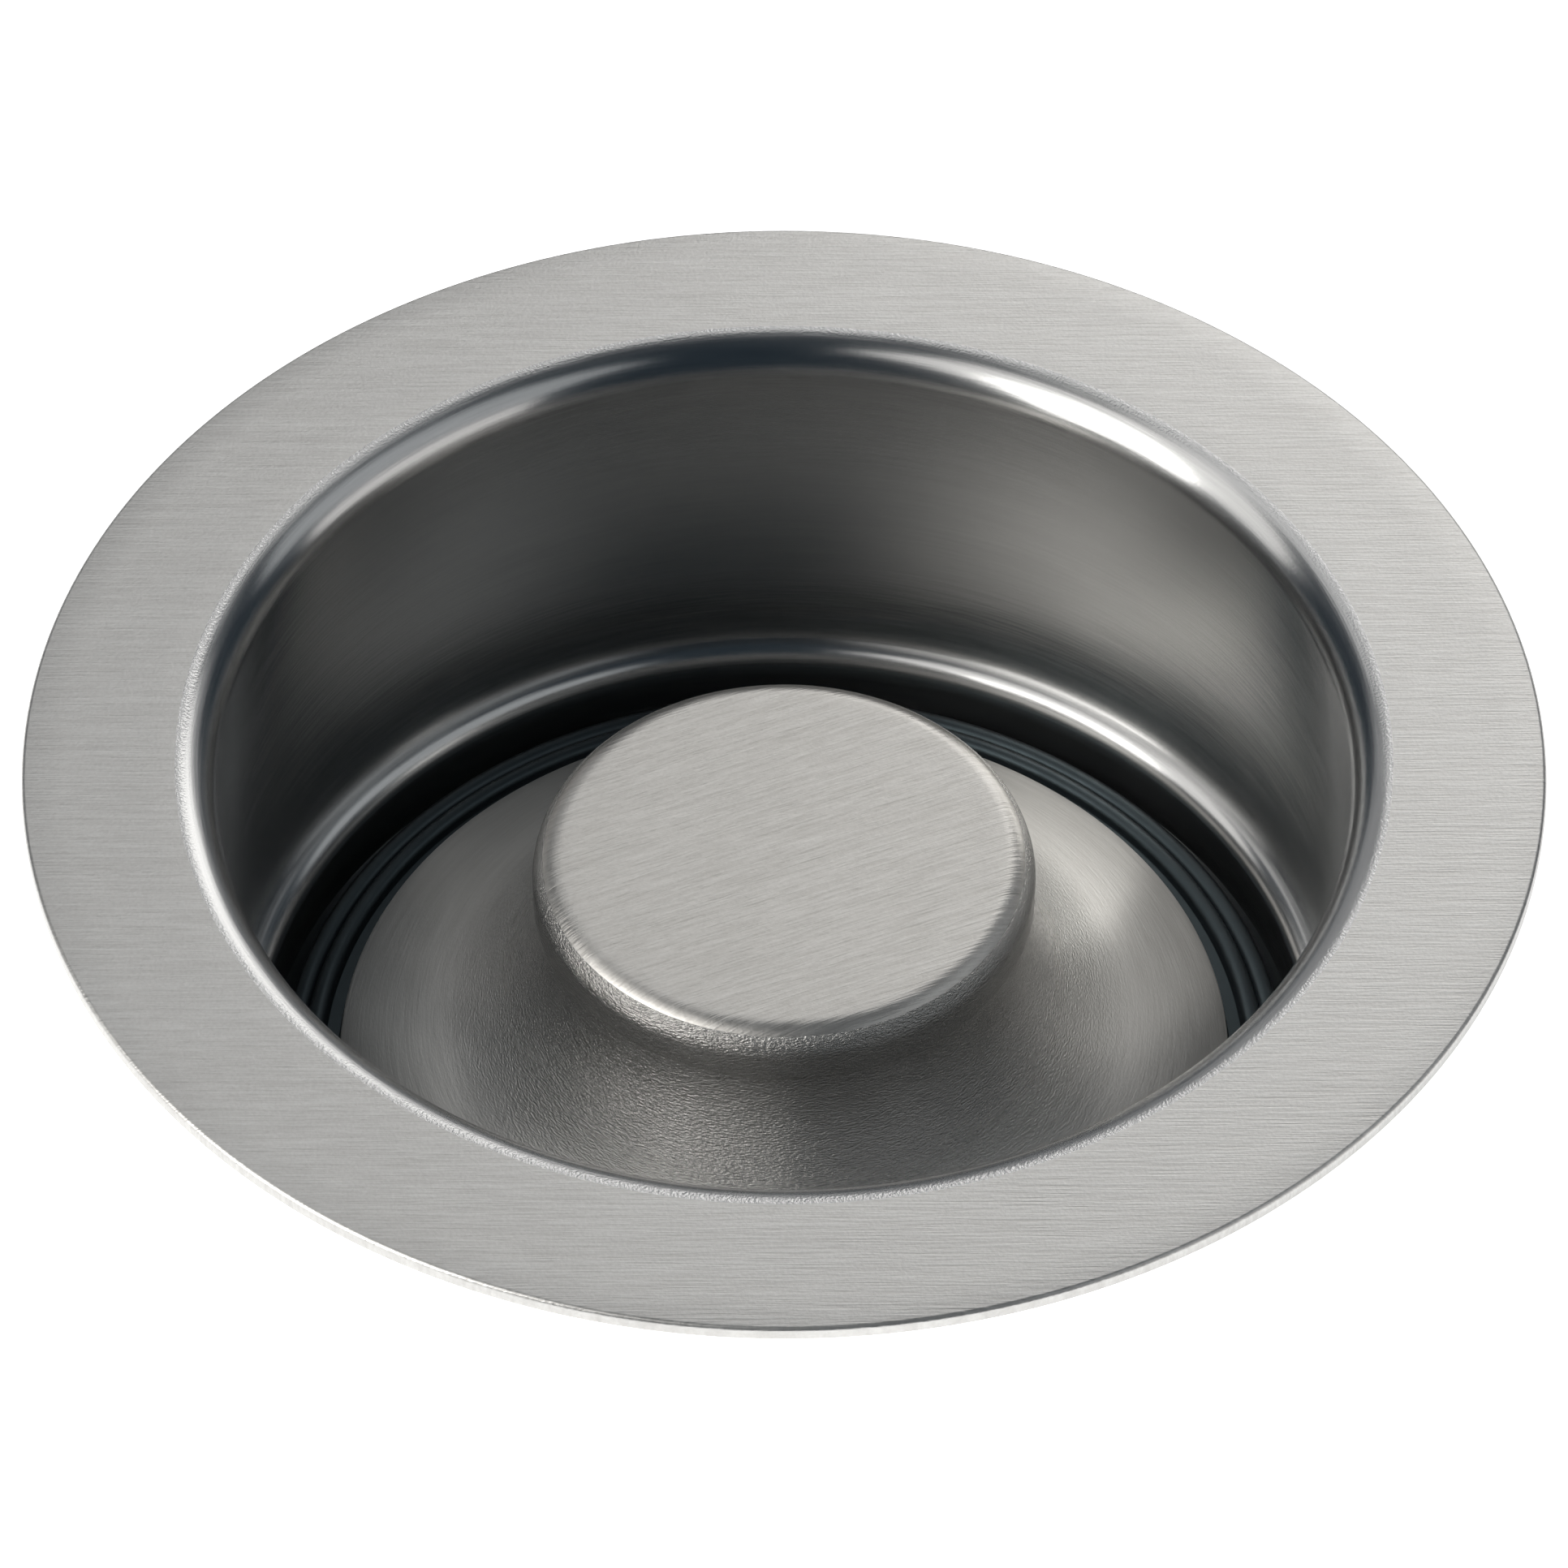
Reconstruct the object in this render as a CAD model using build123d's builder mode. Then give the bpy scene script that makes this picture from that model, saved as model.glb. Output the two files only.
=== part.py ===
"""Sink flange, stopper and three-bolt mount of a kitchen garbage disposal.

Units are millimetres. The Z axis is the drain's centre line, up. z = 0 is the underside of the
flange's rim, the face that beds on the sink, so everything below the sink has a negative z.
"""
from build123d import *
import math
import os

os.makedirs("parts", exist_ok=True)

# ---- driving dimensions ----
# Sink flange: a spun stainless cup with a flat rim, a rounded ledge, a seat and an outlet tube
rim_radius = 57.15            # 4-1/2 in rim over the standard 3-1/2 in sink hole
rim_thickness = 1.1
rim_edge_round = 0.35
sheet = 0.9                   # wall of the cup and of the tube
cup_radius = 42.7             # inside
bend_radius = 3.0             # rim to cup, on the show side
outer_bend = 1.3              # the same bend underneath, where the spun sheet thins a little
ledge_z = -31.0               # corner where the cup wall meets the ledge
ledge_step = 1.7              # the ledge rounds over by this much into the bore
seat_z = -37.0                # top of the conical seat for the stopper's seal
seat_drop = 2.8               # 45 degree seat
tube_bottom = -57.0
groove_z = -45.0              # rolled groove for the snap ring
groove_depth = 1.2
groove_half_width = 1.4

# Stopper
knob_top = -11.2
knob_radius = 19.25
knob_edge_round = 2.3
knob_bottom = -15.9
knob_lip_round = 0.5
neck_radius = 17.9
neck_length = 0.2
flare_radius = 13.9           # concave flare from the neck to the skirt
flare_sweep = 70
skirt_radius = 34.8
skirt_edge_z = -32.8
skirt_underside = -33.6
cap_wall = 1.4
boss_radius = 5.0
boss_bottom = -31.0
seal_radius = 39.5
seal_inner_radius = 30.0
seal_bottom = -39.2
core_disc_radius = 36.0
core_disc_thickness = 2.2
fin_count = 6
fin_thickness = 2.4
fin_top_radius = 35.0
fin_bottom_radius = 31.0
stopper_bottom = -52.0
core_tube_radius = 9.0
core_tube_bore = 6.8
stopper_bolt_radius = 2.5

# Hardware under the sink
sink_thickness = 2.5
gasket_thickness = 1.6
clamp_ring_outer = 54.0
clamp_ring_inner = 44.1
backup_thickness = 4.0
upper_ring_top = -41.3
upper_ring_thickness = 2.4
upper_ring_outer = 56.0
upper_ring_inner = 39.5
screw_circle = 49.05
screw_angles = (90, 210, 330)
screw_radius = 3.0
screw_clearance = 0.05
screw_length = 42.0
screw_point = 3.0
screw_slot = 1.2
snap_wire = 1.3               # wire radius
snap_gap = 16                 # degrees left open
hook_angles = (30, 150, 270)
ramp_outer = 62.0
ramp_sweep = 36
ramp_slope = 4
ramp_top = -39.3
stop_sweep = 3
stop_top = -37.4
hook_sweep = 12
hook_reach = 56.8             # how far in the finger reaches over its ramp
hook_outer = 65.0
hook_gap = 0.5                # finger above the ramp's high end
finger_thickness = 2.6
ring_wall_outer = 60.0
ring_wall = 2.4
ring_top = -52.0
ring_bottom = -67.0
ring_mouth = 46.5             # the grinder's neck comes up through this
lug_angles = (90, 210, 330)
lug_radius = 4.6
lug_bore = 2.8                # takes the turning tool
lug_end = 67.0
lug_z = -59.5
mount_gasket_outer = 52.0
mount_gasket_collar = 43.5
mount_gasket_top = -48.5
mount_gasket_bottom = -59.5
flap_hole_radius = 9.0
flap_root_radius = 36.0
flap_drop = 3.5
flap_thickness = 1.8
slit_count = 8
slit_width = 0.8

# ---- worked-out sizes ----
tube_radius = cup_radius - ledge_step - seat_drop
bore_radius = cup_radius - ledge_step
tube_outer = tube_radius + sheet
cone_shift = sheet * math.tan(math.radians(22.5))
backup_top = -sink_thickness - gasket_thickness
backup_bottom = backup_top - backup_thickness
upper_ring_bottom = upper_ring_top - upper_ring_thickness


def save(part, name):
    """Name a finished piece and write it to its own file."""
    part.label = name
    export_step(part, f"parts/{name}.step")


# ---- sink flange ----
# One closed section, from the rim's edge down the inside of the cup and tube and back up outside
with BuildPart() as sink_flange:
    with BuildSketch(Plane.XZ):
        with BuildLine():
            Line((rim_radius, 0), (rim_radius, rim_thickness))
            Line((rim_radius, rim_thickness), (cup_radius + bend_radius, rim_thickness))
            inner_bend_line = RadiusArc(
                (cup_radius + bend_radius, rim_thickness),
                (cup_radius, rim_thickness - bend_radius),
                -bend_radius,
            )
            Line(inner_bend_line @ 1, (cup_radius, ledge_z))
            ledge = RadiusArc((cup_radius, ledge_z), (bore_radius, ledge_z - ledge_step), -ledge_step)
            seat = Polyline(
                ledge @ 1,
                (bore_radius, seat_z),
                (tube_radius, seat_z - seat_drop),
                (tube_radius, groove_z + groove_half_width + 0.6),
            )
            inside_bead = ThreePointArc(
                seat @ 1,
                (tube_radius - groove_depth, groove_z),
                (tube_radius, groove_z - groove_half_width - 0.6),
            )
            tube_walls = Polyline(
                inside_bead @ 1,
                (tube_radius, tube_bottom),
                (tube_outer, tube_bottom),
                (tube_outer, groove_z - groove_half_width),
            )
            outside_groove = ThreePointArc(
                tube_walls @ 1,
                (tube_outer - groove_depth, groove_z),
                (tube_outer, groove_z + groove_half_width),
            )
            outside_seat = Polyline(
                outside_groove @ 1,
                (tube_outer, seat_z - seat_drop - cone_shift),
                (bore_radius + sheet, seat_z - cone_shift),
                (bore_radius + sheet, ledge_z - ledge_step),
            )
            outside_ledge = RadiusArc(outside_seat @ 1, (cup_radius, ledge_z - sheet), ledge_step - sheet)
            outside_cup = Polyline(
                outside_ledge @ 1,
                (cup_radius + sheet, ledge_z - sheet),
                (cup_radius + sheet, -outer_bend),
            )
            outside_bend_line = RadiusArc(
                outside_cup @ 1, (cup_radius + sheet + outer_bend, 0), outer_bend
            )
            Line(outside_bend_line @ 1, (rim_radius, 0))
        make_face()
    revolve(axis=Axis.Z)
    rim_edge = sink_flange.edges().filter_by(GeomType.CIRCLE).group_by(SortBy.RADIUS)[-1]
    fillet(rim_edge.sort_by(Axis.Z)[-1], rim_edge_round)
    tube_end = sink_flange.edges().filter_by(GeomType.CIRCLE).group_by(Axis.Z)[0]
    fillet(tube_end, sheet / 3)
save(sink_flange.part, "sink_flange")

# ---- stopper cap ----
# A cast cap: flat-topped knob, short neck, concave flare and a gently crowned skirt, hollow below
flare_start = knob_bottom - neck_length
sweep_cos = math.cos(math.radians(flare_sweep))
sweep_sin = math.sin(math.radians(flare_sweep))
flare_centre_r = neck_radius + flare_radius
flare_end = (flare_centre_r - flare_radius * sweep_cos, flare_start - flare_radius * sweep_sin)
hollow_radius = flare_radius + cap_wall
hollow_end = (flare_centre_r - hollow_radius * sweep_cos, flare_start - hollow_radius * sweep_sin)
neck_bore = neck_radius - cap_wall
cap_ceiling = knob_top - 2.2
with BuildPart() as stopper_cap:
    with BuildSketch(Plane.XZ):
        with BuildLine():
            knob = Polyline((0, cap_ceiling), (0, knob_top), (knob_radius - knob_edge_round, knob_top))
            edge = RadiusArc(knob @ 1, (knob_radius, knob_top - knob_edge_round), knob_edge_round)
            side = Line(edge @ 1, (knob_radius, knob_bottom + knob_lip_round))
            lip = RadiusArc(side @ 1, (knob_radius - knob_lip_round, knob_bottom), knob_lip_round)
            neck = Polyline(lip @ 1, (neck_radius, knob_bottom), (neck_radius, flare_start))
            flare = RadiusArc(neck @ 1, flare_end, -flare_radius)
            skirt = TangentArc(flare @ 1, (skirt_radius, skirt_edge_z), tangent=flare % 1)
            underside = Polyline(
                skirt @ 1, (skirt_radius, skirt_underside), (skirt_radius - 1.2, skirt_underside), hollow_end
            )
            hollow = RadiusArc(underside @ 1, (neck_bore, flare_start), hollow_radius)
            Polyline(hollow @ 1, (neck_bore, cap_ceiling), (0, cap_ceiling))
        make_face()
    revolve(axis=Axis.Z)
    with BuildSketch(Plane.XY.offset(boss_bottom)):
        Circle(boss_radius)
    extrude(amount=cap_ceiling - boss_bottom)
    with BuildSketch(Plane.XY.offset(boss_bottom)):
        Circle(stopper_bolt_radius + 0.05)
    extrude(amount=12, mode=Mode.SUBTRACT)
    skirt_rims = stopper_cap.edges().filter_by(GeomType.CIRCLE)
    skirt_rims = skirt_rims.filter_by(lambda e: abs(e.radius - skirt_radius) < 0.01)
    fillet(skirt_rims.sort_by(Axis.Z)[-1], 0.3)
save(stopper_cap.part, "stopper_cap")

# ---- stopper seal ----
# Moulded rubber ring under the skirt: a dark groove, two round ribs and a bevel that meets the seat
rib_radius = 37.0
groove_floor = skirt_underside - 0.9
with BuildPart() as stopper_seal:
    with BuildSketch(Plane.XZ):
        with BuildLine():
            top = Polyline(
                (seal_inner_radius, skirt_underside),
                (skirt_radius - 0.1, skirt_underside),
                (skirt_radius + 0.3, groove_floor),
                (rib_radius - 0.8, groove_floor),
            )
            rib = ThreePointArc(top @ 1, (rib_radius, groove_floor + 0.8), (rib_radius + 0.8, groove_floor))
            lip = ThreePointArc(
                rib @ 1, (seal_radius - 0.9, groove_floor + 0.4), (seal_radius, groove_floor - 0.7)
            )
            Polyline(
                lip @ 1,
                (seal_radius, seal_bottom + 1.2),
                (seal_radius - 1.2, seal_bottom),
                (seal_inner_radius, seal_bottom),
                (seal_inner_radius, skirt_underside),
            )
        make_face()
    revolve(axis=Axis.Z)
save(stopper_seal.part, "stopper_seal")

# ---- stopper core ----
# Moulded plastic guide: a disc that backs the seal, a spigot in its middle, a hub up to the cap's
# boss, and tapered fins that keep the stopper upright in the tube
core_disc_bottom = seal_bottom - core_disc_thickness
spigot_top = skirt_underside - 0.4
with BuildPart() as stopper_core:
    with BuildSketch(Plane.XY.offset(core_disc_bottom)):
        Circle(core_disc_radius)
    extrude(amount=core_disc_thickness)
    fillet(stopper_core.edges().filter_by(GeomType.CIRCLE).sort_by(Axis.Z)[0], 0.8)
    with BuildSketch(Plane.XY.offset(seal_bottom)):
        Circle(seal_inner_radius - 0.05)
    extrude(amount=spigot_top - seal_bottom)
    with BuildSketch(Plane.XY.offset(spigot_top)):
        Circle(boss_radius + 2)
    extrude(amount=boss_bottom - spigot_top)
    with BuildSketch(Plane.XZ) as fin_outline:
        Polygon(
            (core_tube_radius - 1, core_disc_bottom),
            (fin_top_radius, core_disc_bottom),
            (fin_bottom_radius, stopper_bottom),
            (core_tube_radius - 1, stopper_bottom),
            align=None,
        )
    fin_blade = extrude(amount=fin_thickness / 2, both=True)
    with PolarLocations(0, fin_count - 1, start_angle=360 / fin_count, angular_range=360 - 360 / fin_count):
        add(fin_blade)
    with BuildSketch(Plane.XY.offset(stopper_bottom)):
        Circle(core_tube_radius)
    extrude(amount=core_disc_bottom - stopper_bottom)
    with BuildSketch(Plane.XY.offset(stopper_bottom)):
        Circle(core_tube_bore)
    extrude(amount=core_disc_bottom - stopper_bottom, mode=Mode.SUBTRACT)
    with BuildSketch(Plane.XY.offset(core_disc_bottom)):
        Circle(stopper_bolt_radius + 0.15)
    extrude(amount=boss_bottom - core_disc_bottom, mode=Mode.SUBTRACT)
save(stopper_core.part, "stopper_core")

# ---- stopper washer and bolt ----
washer_thickness = 1.0
with BuildPart() as stopper_washer:
    with BuildSketch(Plane.XY.offset(core_disc_bottom - washer_thickness)):
        Circle(6.2)
        Circle(stopper_bolt_radius + 0.15, mode=Mode.SUBTRACT)
    extrude(amount=washer_thickness)
save(stopper_washer.part, "stopper_washer")

bolt_seat = core_disc_bottom - washer_thickness
bolt_head_height = 3.2
with BuildPart() as stopper_bolt:
    with BuildSketch(Plane.XY.offset(bolt_seat - bolt_head_height)):
        Circle(4.7)
    extrude(amount=bolt_head_height)
    fillet(stopper_bolt.edges().filter_by(GeomType.CIRCLE).sort_by(Axis.Z)[0], 1.2)
    with BuildSketch(Plane.XY.offset(bolt_seat - bolt_head_height)):
        SlotOverall(6.0, 1.4)
        SlotOverall(6.0, 1.4, rotation=90)
    extrude(amount=1.8, mode=Mode.SUBTRACT)
    with BuildSketch(Plane.XY.offset(bolt_seat)):
        Circle(stopper_bolt_radius)
    extrude(amount=boss_bottom - bolt_seat + 10)
    chamfer(stopper_bolt.edges().filter_by(GeomType.CIRCLE).sort_by(Axis.Z)[-1], 0.5)
save(stopper_bolt.part, "stopper_bolt")

# ---- fibre gasket ----
with BuildPart() as fibre_gasket:
    with BuildSketch(Plane.XY.offset(backup_top)):
        Circle(clamp_ring_outer)
        Circle(clamp_ring_inner, mode=Mode.SUBTRACT)
    extrude(amount=gasket_thickness)
save(fibre_gasket.part, "fibre_gasket")

# ---- backup flange ----
# Stamped ring that spreads the screws' push over the gasket: flat above, its edges rolled down
edge_wall = 1.4
with BuildPart() as backup_flange:
    with BuildSketch(Plane.XZ):
        Polygon(
            (clamp_ring_inner, backup_top),
            (clamp_ring_outer, backup_top),
            (clamp_ring_outer, backup_bottom),
            (clamp_ring_outer - edge_wall, backup_bottom),
            (clamp_ring_outer - edge_wall, backup_top - edge_wall),
            (clamp_ring_inner + edge_wall, backup_top - edge_wall),
            (clamp_ring_inner + edge_wall, backup_bottom),
            (clamp_ring_inner, backup_bottom),
            align=None,
        )
    revolve(axis=Axis.Z)
    top_edges = backup_flange.edges().filter_by(GeomType.CIRCLE).group_by(Axis.Z)[-1]
    fillet(top_edges, 0.8)
save(backup_flange.part, "backup_flange")

# ---- mounting screws ----
# Pointed, slotted set screws: each threads up through the upper ring and pushes on the backup flange
screw_top = backup_top - edge_wall
screw_bottom = screw_top - screw_length
for number, angle in enumerate(screw_angles, start=1):
    screw_x = screw_circle * math.cos(math.radians(angle))
    screw_y = screw_circle * math.sin(math.radians(angle))
    with BuildPart() as mounting_screw:
        with BuildSketch(Plane.XY.offset(screw_bottom)):
            with Locations((screw_x, screw_y)):
                Circle(screw_radius)
        extrude(amount=screw_length - screw_point)
        with BuildSketch(Plane.XY.offset(screw_top - screw_point)):
            with Locations((screw_x, screw_y)):
                Circle(screw_radius)
        with BuildSketch(Plane.XY.offset(screw_top)):
            with Locations((screw_x, screw_y)):
                Circle(screw_radius * 0.4)
        loft()
        with BuildSketch(Plane.XY.offset(screw_bottom)):
            with Locations((screw_x, screw_y)):
                Rectangle(2.5 * screw_radius, screw_slot, rotation=angle)
        extrude(amount=2.2, mode=Mode.SUBTRACT)
    save(mounting_screw.part, f"mounting_screw_{number}")

# ---- upper mounting ring ----
# Plate ring on the snap ring, with three tapped bosses and three sloped ramps for the hooks
boss_height = 3.0
stop_gap = 0.6                # degrees between a hook and its stop
ramp_width = ramp_outer - upper_ring_outer + 1
ramp_middle = ramp_outer - ramp_width / 2
with BuildPart() as upper_mount_ring:
    with BuildSketch(Plane.XY.offset(upper_ring_bottom)):
        Circle(upper_ring_outer)
        Circle(upper_ring_inner, mode=Mode.SUBTRACT)
    extrude(amount=upper_ring_thickness)
    with BuildSketch(Plane.XY.offset(upper_ring_top)):
        with PolarLocations(screw_circle, len(screw_angles), start_angle=screw_angles[0]):
            Circle(screw_radius + 2.2)
    extrude(amount=boss_height)
    with BuildSketch(Plane.XY.offset(upper_ring_bottom)):
        with PolarLocations(screw_circle, len(screw_angles), start_angle=screw_angles[0]):
            Circle(screw_radius + screw_clearance)
    extrude(amount=upper_ring_thickness + boss_height, mode=Mode.SUBTRACT)
    for angle in hook_angles:
        first = angle + hook_sweep / 2 + stop_sweep - ramp_sweep
        with BuildSketch(Plane.XZ.rotated((0, 0, first))):
            with Locations((ramp_middle, (ramp_top + upper_ring_bottom) / 2)):
                Rectangle(ramp_width, ramp_top - upper_ring_bottom)
        ramp_block = revolve(axis=Axis.Z, revolution_arc=ramp_sweep, mode=Mode.PRIVATE)
        tilt_axis = Plane(origin=(0, 0, ramp_top), z_dir=(0, 0, 1)).rotated((0, 0, angle))
        slope = Plane(
            origin=tilt_axis.origin + tilt_axis.x_dir * ramp_outer,
            x_dir=tilt_axis.x_dir,
            z_dir=Vector(0, 0, 1).rotate(Axis((0, 0, 0), tilt_axis.x_dir), ramp_slope),
        )
        add(split(ramp_block, bisect_by=slope, keep=Keep.BOTTOM, mode=Mode.PRIVATE))
        with BuildSketch(Plane.XZ.rotated((0, 0, angle + hook_sweep / 2 + stop_gap))):
            with Locations((ramp_middle, (stop_top + upper_ring_bottom) / 2)):
                Rectangle(ramp_width, stop_top - upper_ring_bottom)
        revolve(axis=Axis.Z, revolution_arc=stop_sweep)
save(upper_mount_ring.part, "upper_mount_ring")

# ---- snap ring ----
# Split ring of round wire, sprung into the tube's groove below the upper ring
groove_arc_radius = (groove_half_width**2 + groove_depth**2) / (2 * groove_depth)
snap_centre = tube_outer - groove_depth + groove_arc_radius
with BuildPart() as snap_ring:
    with BuildSketch(Plane.XZ):
        with Locations((snap_centre, groove_z)):
            Circle(snap_wire)
    revolve(axis=Axis.Z, revolution_arc=360 - snap_gap)
save(snap_ring.part, "snap_ring")

# ---- mounting gasket ----
# Rubber collar over the tube's end, with the slit splash baffle moulded across its mouth
with BuildPart() as mounting_gasket:
    with BuildSketch(Plane.XZ):
        Polygon(
            (tube_outer + 0.05, mount_gasket_top),
            (mount_gasket_collar, mount_gasket_top),
            (mount_gasket_collar, tube_bottom - 0.1),
            (mount_gasket_outer, tube_bottom - 0.1),
            (mount_gasket_outer, mount_gasket_bottom),
            (flap_root_radius, mount_gasket_bottom),
            (flap_hole_radius, mount_gasket_bottom - flap_drop),
            (flap_hole_radius, mount_gasket_bottom - flap_drop + flap_thickness),
            (flap_root_radius, tube_bottom - 0.1),
            (tube_outer + 0.05, tube_bottom - 0.1),
            align=None,
        )
    revolve(axis=Axis.Z)
    slit_length = flap_root_radius - 2 - flap_hole_radius / 2
    with BuildSketch(Plane.XY.offset(ring_bottom)):
        with PolarLocations(flap_hole_radius / 2 + slit_length / 2, slit_count):
            Rectangle(slit_length, slit_width)
    extrude(amount=tube_bottom - ring_bottom, mode=Mode.SUBTRACT)
save(mounting_gasket.part, "mounting_gasket")

# ---- lower mounting ring ----
# Pressed ring that carries the grinder: an inward lip below, a wall, and three hooks over the ramps
ramp_rise = ramp_outer * math.tan(math.radians(ramp_slope)) * math.sin(math.radians(hook_sweep / 2))
finger_bottom = ramp_top + ramp_rise + hook_gap
finger_top = finger_bottom + finger_thickness
with BuildPart() as lower_mount_ring:
    with BuildSketch(Plane.XZ):
        Polygon(
            (ring_mouth, ring_bottom),
            (ring_wall_outer, ring_bottom),
            (ring_wall_outer, ring_top),
            (ring_wall_outer - ring_wall, ring_top),
            (ring_wall_outer - ring_wall, ring_bottom + ring_wall),
            (ring_mouth, ring_bottom + ring_wall),
            align=None,
        )
    revolve(axis=Axis.Z)
    corner = lower_mount_ring.edges().filter_by(GeomType.CIRCLE).group_by(Axis.Z)[0]
    fillet(corner.sort_by(SortBy.RADIUS)[-1], 2.0)
    for angle in hook_angles:
        hook_section = Plane.XZ.rotated((0, 0, angle - hook_sweep / 2))
        with BuildSketch(hook_section):
            Polygon(
                (ring_wall_outer - ring_wall, ring_top - 3),
                (hook_outer, ring_top - 3),
                (hook_outer, finger_top),
                (hook_reach, finger_top),
                (hook_reach, finger_bottom),
                (hook_outer - ring_wall, finger_bottom),
                (hook_outer - ring_wall, ring_top),
                (ring_wall_outer - ring_wall, ring_top),
                align=None,
            )
        revolve(axis=Axis.Z, revolution_arc=hook_sweep)
    for angle in lug_angles:
        outward = Vector(1, 0, 0).rotate(Axis.Z, angle)
        lug_root = Plane(origin=outward * (ring_wall_outer - 0.8) + Vector(0, 0, lug_z), z_dir=outward)
        with BuildSketch(lug_root):
            Circle(lug_radius)
            Circle(lug_bore, mode=Mode.SUBTRACT)
        extrude(amount=lug_end - ring_wall_outer + 0.8)
save(lower_mount_ring.part, "lower_mount_ring")
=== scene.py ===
"""Looks for a sink flange with its stopper and three-bolt mount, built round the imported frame."""
import bpy
import math
from mathutils import Matrix, Vector


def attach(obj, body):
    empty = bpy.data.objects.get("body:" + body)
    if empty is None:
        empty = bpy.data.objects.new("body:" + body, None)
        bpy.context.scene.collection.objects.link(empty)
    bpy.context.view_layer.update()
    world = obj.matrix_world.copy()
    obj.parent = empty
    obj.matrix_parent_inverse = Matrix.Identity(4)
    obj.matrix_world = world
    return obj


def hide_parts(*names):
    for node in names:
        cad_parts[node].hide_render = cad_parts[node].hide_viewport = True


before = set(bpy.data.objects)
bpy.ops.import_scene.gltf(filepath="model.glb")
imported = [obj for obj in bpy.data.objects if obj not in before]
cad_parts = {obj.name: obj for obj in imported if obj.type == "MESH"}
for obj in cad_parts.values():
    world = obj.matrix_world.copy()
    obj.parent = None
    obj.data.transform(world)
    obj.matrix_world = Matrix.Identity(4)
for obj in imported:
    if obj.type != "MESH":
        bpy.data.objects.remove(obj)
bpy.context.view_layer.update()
bpy.ops.object.select_all(action="DESELECT")
MM = 0.001


# ---------------------------------------------------------------------------
# Sink flange: one disc of stainless sheet, spun down into a cup with a rolled bend at the rim, a
# rounded ledge, a conical seat and an outlet tube with a rolled groove. The rim is brushed in
# straight lines on a belt, the cup is brushed round and round on the lathe.
# ---------------------------------------------------------------------------
def bend(centre, radius, start, end, steps=10):
    """Points in mm along part of a circle in the (radius, height) plane; 0 degrees is outward."""
    points = []
    for step in range(steps + 1):
        angle = math.radians(start + (end - start) * step / steps)
        points.append((centre[0] + radius * math.cos(angle), centre[1] + radius * math.sin(angle)))
    return points


def finish_mesh(piece, smooth_angle=35):
    """Merges doubles, turns faces outward and shades the piece smooth up to an angle."""
    bpy.ops.object.mode_set(mode="EDIT")
    bpy.ops.mesh.select_all(action="SELECT")
    bpy.ops.mesh.remove_doubles(threshold=1e-6)
    bpy.ops.mesh.normals_make_consistent(inside=False)
    bpy.ops.mesh.select_all(action="DESELECT")
    bpy.ops.object.mode_set(mode="OBJECT")
    bpy.ops.object.shade_smooth_by_angle(angle=math.radians(smooth_angle))
    piece.select_set(False)


def turned(name, section, steps=256, sweep=360, first=0):
    """A turned piece: the section, (radius, height) points in mm, is drawn out point by point and spun."""
    bpy.ops.object.select_all(action="DESELECT")
    bpy.ops.mesh.primitive_plane_add(size=MM)
    piece = bpy.context.object
    piece.name = name
    bpy.ops.object.mode_set(mode="EDIT")
    bpy.ops.mesh.merge(type="CENTER")
    at = Vector((section[0][0], 0, section[0][1])) * MM
    bpy.ops.transform.translate(value=at)
    for radius, height in section[1:]:
        to = Vector((radius, 0, height)) * MM
        bpy.ops.mesh.extrude_region_move(TRANSFORM_OT_translate={"value": to - at})
        at = to
    bpy.ops.mesh.select_all(action="SELECT")
    bpy.ops.transform.rotate(value=-math.radians(first), orient_axis="Z", center_override=(0, 0, 0))
    bpy.ops.mesh.select_all(action="SELECT")
    bpy.ops.mesh.spin(steps=steps, angle=math.radians(sweep), center=(0, 0, 0), axis=(0, 0, 1))
    if sweep < 360:
        bpy.ops.mesh.select_all(action="DESELECT")
        bpy.ops.mesh.select_non_manifold()
        bpy.ops.mesh.edge_face_add()
    bpy.ops.object.mode_set(mode="OBJECT")
    return piece


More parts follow.
